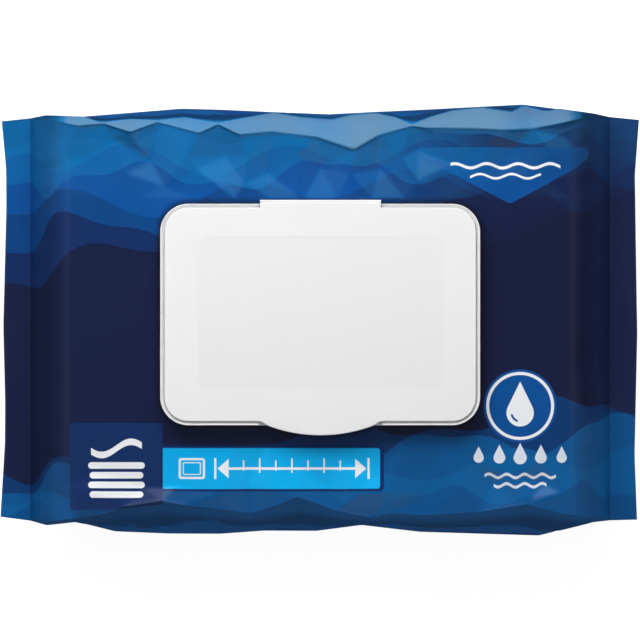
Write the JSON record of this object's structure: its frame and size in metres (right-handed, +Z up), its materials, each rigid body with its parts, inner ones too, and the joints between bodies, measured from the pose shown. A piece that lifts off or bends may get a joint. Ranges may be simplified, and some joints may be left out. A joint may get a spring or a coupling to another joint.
{
  "type": "wet wipes pack",
  "caption": "Soft flow-wrapped film pack of wet washcloths with tucked side gussets, crimped ends and a hinged flip-top dispensing lid.",
  "frame": {"origin": "middle of the underside, on the surface that the pack lies on", "axes": "+X along the pack from one crimp to the other, +Y across it from the lid's thumb tab to its hinge, +Z up through the lid"},
  "size_m": [0.2616, 0.1766, 0.064],
  "materials": {
    "film": "satin",
    "label": "satin",
    "lid_plastic": "satin"
  },
  "bodies": {
    "pack": {"film_pouch": "film", "seal_label": "label", "lid_frame": "lid_plastic"},
    "lid": {"lid_flap": "lid_plastic"}
  },
  "joints": [
    {"name": "lid_hinge", "type": "hinge", "parent": "pack", "child": "lid", "pos_m": [0.0002, 0.0482, 0.064], "axis": [-1, 0, 0], "range_deg": [0, 170]}
  ]
}
